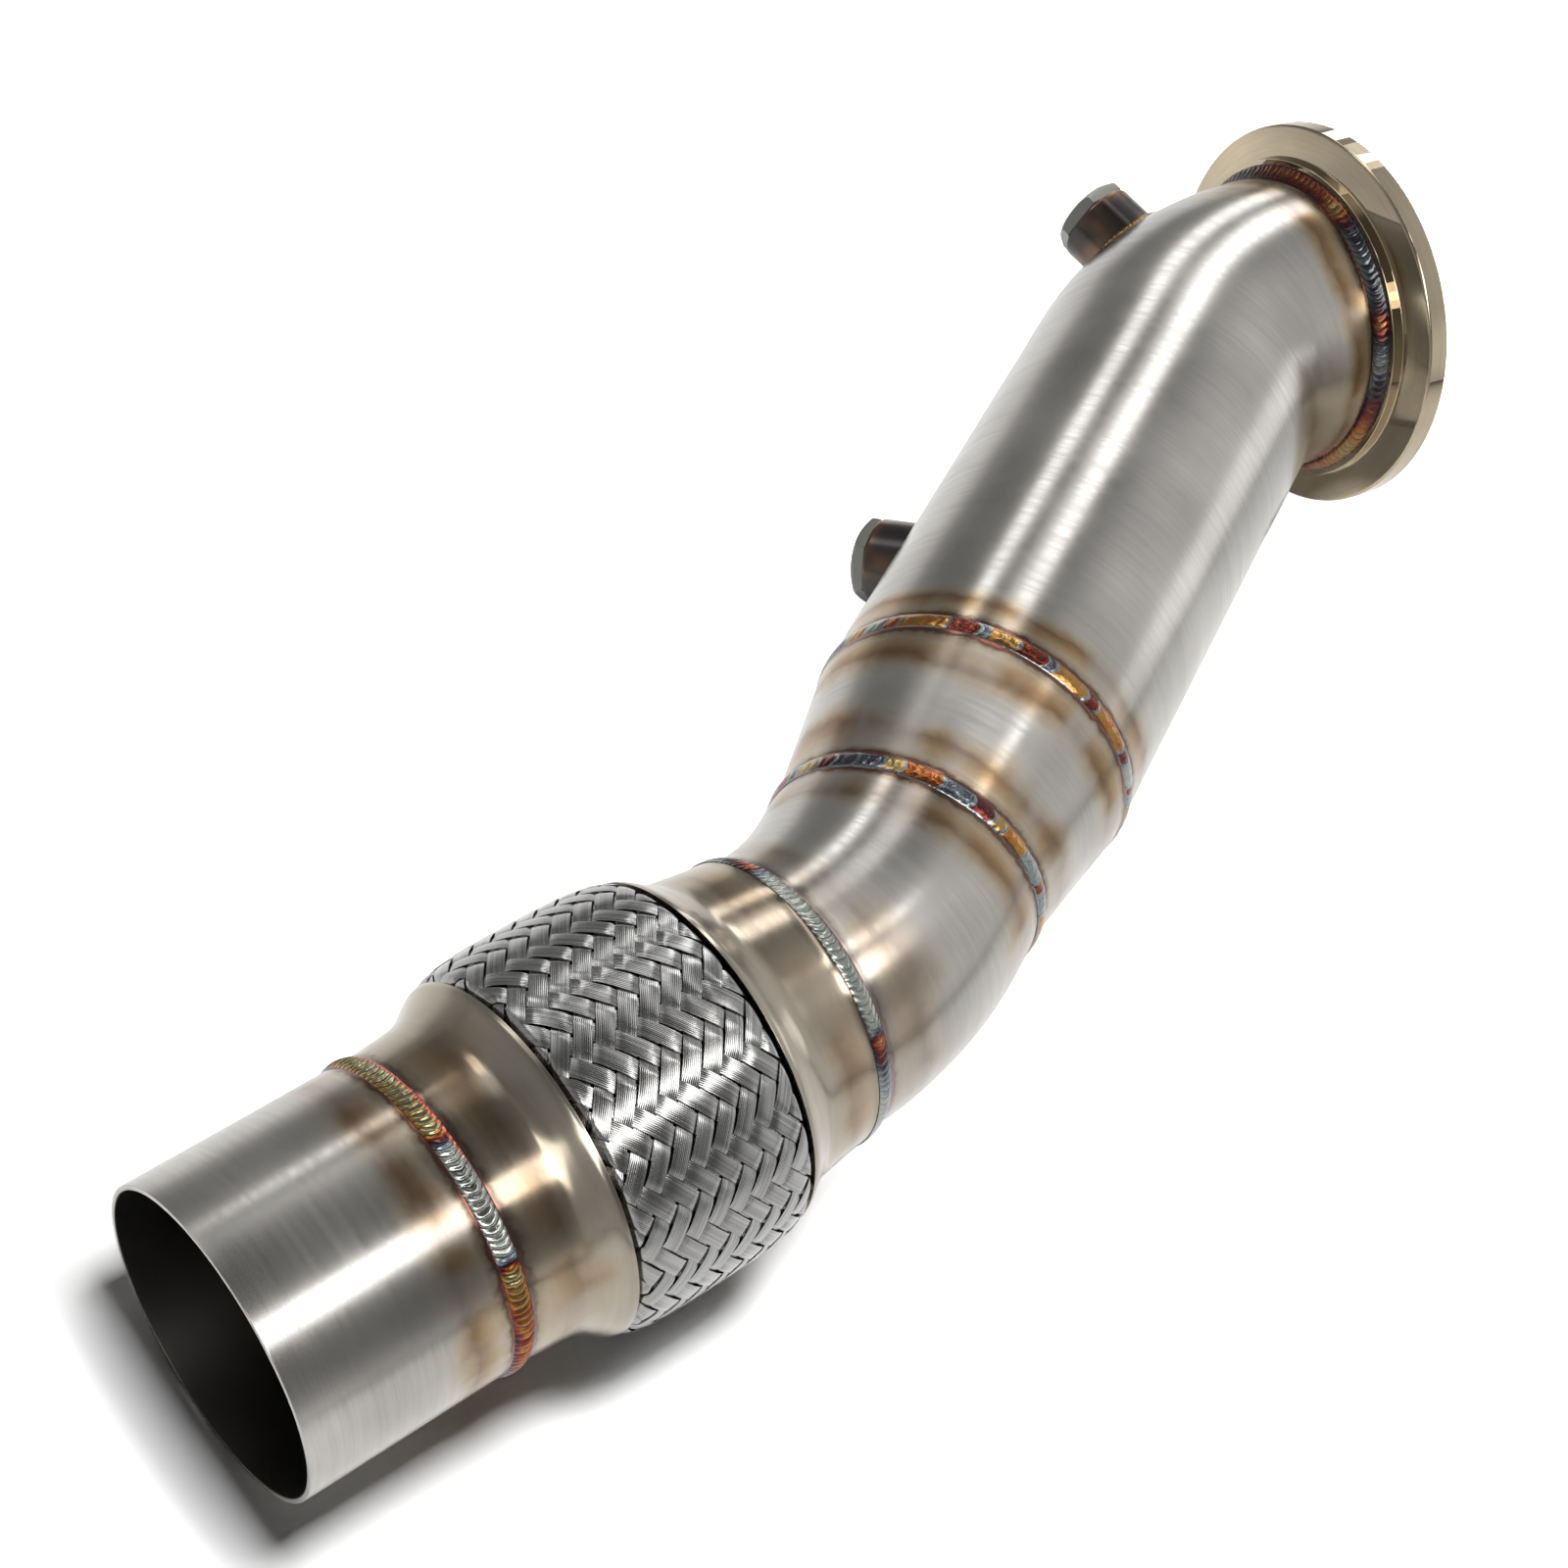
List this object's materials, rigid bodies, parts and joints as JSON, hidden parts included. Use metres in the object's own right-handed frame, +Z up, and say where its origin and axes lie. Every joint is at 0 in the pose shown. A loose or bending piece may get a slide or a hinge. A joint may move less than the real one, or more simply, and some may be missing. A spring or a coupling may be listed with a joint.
{
  "type": "turbo downpipe",
  "caption": "Stainless turbo downpipe with a V-band inlet flange, a bend, a straight tube with plugged sensor bungs, a reducer, an elbow, a braided flex section and a slip-joint outlet.",
  "frame": {"origin": "on the floor below the middle of the pipe's outline, with the pipe lying as it comes to rest", "axes": "+Z up, +X along the main tube towards the V-band flange, +Y to the side that the sensor bungs point to"},
  "size_m": [0.5258, 0.193, 0.1175],
  "materials": {
    "tube_steel": "brushed stainless tube, warm grey, tinted straw, brown and blue beside each weld",
    "weld_steel": "rippled weld bead with copper, straw, red and blue-grey heat colours",
    "collar_steel": "polished pressed stainless, brownish from heat",
    "braid_steel": "bright woven stainless wire",
    "liner_steel": "plain dull stainless sheet",
    "bung_steel": "turned stainless, darkened by welding",
    "plug_steel": "matte grey steel",
    "flange_steel": "turned and polished stainless, pale straw"
  },
  "bodies": {
    "root": {"outlet_tube": "tube_steel", "outlet_weld": "weld_steel", "flex_lower_collar": "collar_steel", "flex_braid": "braid_steel", "flex_bellows": "liner_steel", "flex_liner": "liner_steel", "flex_upper_collar": "collar_steel", "elbow_slip_weld": "weld_steel", "lower_elbow": "tube_steel", "reducer_lower_weld": "weld_steel", "reducer_cone": "tube_steel", "reducer_upper_weld": "weld_steel", "main_tube": "tube_steel", "lower_sensor_bung": "bung_steel", "lower_bung_weld": "weld_steel", "lower_sensor_plug": "plug_steel", "upper_sensor_bung": "bung_steel", "upper_bung_weld": "weld_steel", "upper_sensor_plug": "plug_steel", "flange_weld": "weld_steel", "v_band_flange": "flange_steel"}
  },
  "joints": []
}
